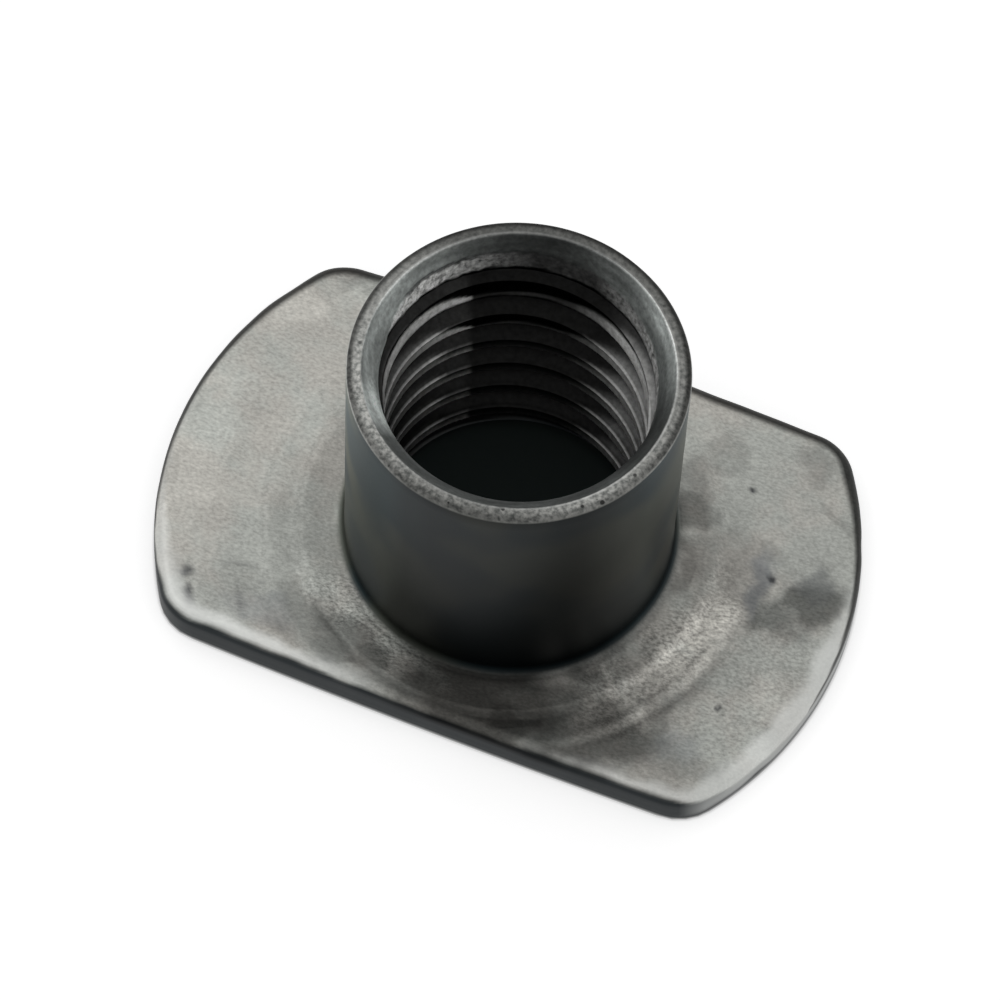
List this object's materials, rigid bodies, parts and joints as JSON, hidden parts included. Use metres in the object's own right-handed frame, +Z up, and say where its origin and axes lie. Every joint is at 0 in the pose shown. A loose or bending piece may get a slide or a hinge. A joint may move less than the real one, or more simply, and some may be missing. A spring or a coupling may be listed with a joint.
{
  "type": "round base tee nut with two flats",
  "caption": "Drawn steel tee nut: a tapped, thin-walled barrel standing on a flat flange with round ends and two long flats.",
  "frame": {"origin": "middle of the flange's flat underside, on the axis of the bore", "axes": "+Z up the barrel, +X along the flange's two flats towards one round end, +Y across the flats"},
  "size_m": [0.0236, 0.015, 0.0117],
  "materials": {
    "steel": "tumbled bare steel, dull grey with a bright worn edge and dark marks"
  },
  "bodies": {
    "root": {"tee_nut": "steel"}
  },
  "joints": []
}
